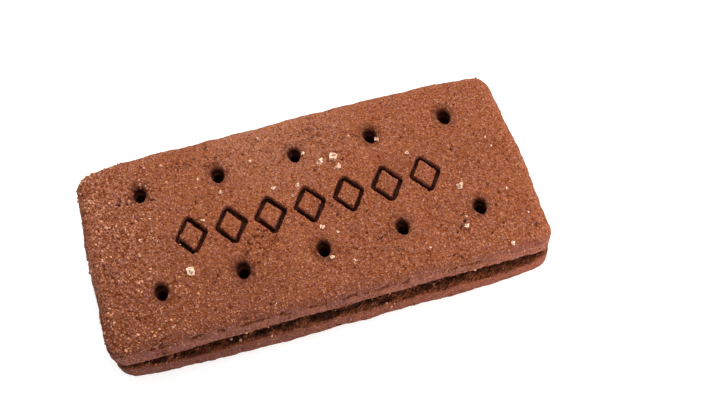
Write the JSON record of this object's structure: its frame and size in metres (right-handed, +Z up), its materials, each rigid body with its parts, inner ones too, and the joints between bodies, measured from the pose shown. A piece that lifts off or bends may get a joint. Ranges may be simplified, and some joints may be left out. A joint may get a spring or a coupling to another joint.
{
  "type": "chocolate sandwich cookie",
  "caption": "Oblong cocoa biscuits with rounded rims, rows of docker holes and a pressed lozenge band, sandwiching a recessed chocolate cream layer.",
  "frame": {"origin": "middle of the underside, on the surface that the cookie rests on", "axes": "+X along the cookie's length, +Y across its width, +Z up through the layers"},
  "size_m": [0.062, 0.0304, 0.0108],
  "materials": {
    "cocoa_biscuit": "matt, sandy baked cocoa crumb with a few sugar grains",
    "chocolate_cream": "dull, dark chocolate fat cream with a ragged, crumbly side",
    "cocoa_biscuit_base": "matt, slightly smoother baked cocoa crumb"
  },
  "bodies": {
    "root": {"top_biscuit": "cocoa_biscuit", "cream_filling": "chocolate_cream", "bottom_biscuit": "cocoa_biscuit_base"}
  },
  "joints": []
}
